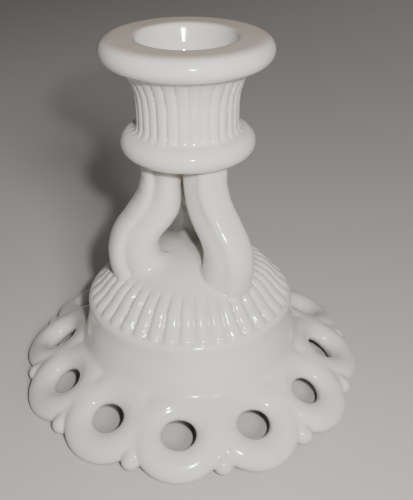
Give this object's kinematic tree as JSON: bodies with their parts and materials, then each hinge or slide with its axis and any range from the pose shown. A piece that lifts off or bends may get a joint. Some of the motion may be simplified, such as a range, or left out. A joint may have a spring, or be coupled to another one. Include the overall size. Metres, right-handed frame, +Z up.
{
  "type": "glass candlestick",
  "caption": "Pressed milk-glass candlestick: rolled cup with blind candle socket on an open stem of S-curved arms over a fluted bell base with a lace rim.",
  "frame": {"origin": "centre of the foot, on the surface that the candlestick rests on", "axes": "+Z up along the cup's axis; -Y is the front, where a loop of the rim is centred; the arms stand 45, 165 and 285 degrees from -Y towards +X"},
  "size_m": [0.1116, 0.1116, 0.1128],
  "materials": {
    "milk_glass_cup": "fire-polished opaque milk glass",
    "milk_glass_stem": "fire-polished opaque milk glass",
    "milk_glass_base": "fire-polished opaque milk glass"
  },
  "bodies": {
    "root": {"candle_cup": "milk_glass_cup", "stem_neck": "milk_glass_stem", "stem_arm_1": "milk_glass_stem", "stem_arm_2": "milk_glass_stem", "stem_arm_3": "milk_glass_stem", "bell_base": "milk_glass_base", "lace_rim": "milk_glass_base"}
  },
  "joints": []
}
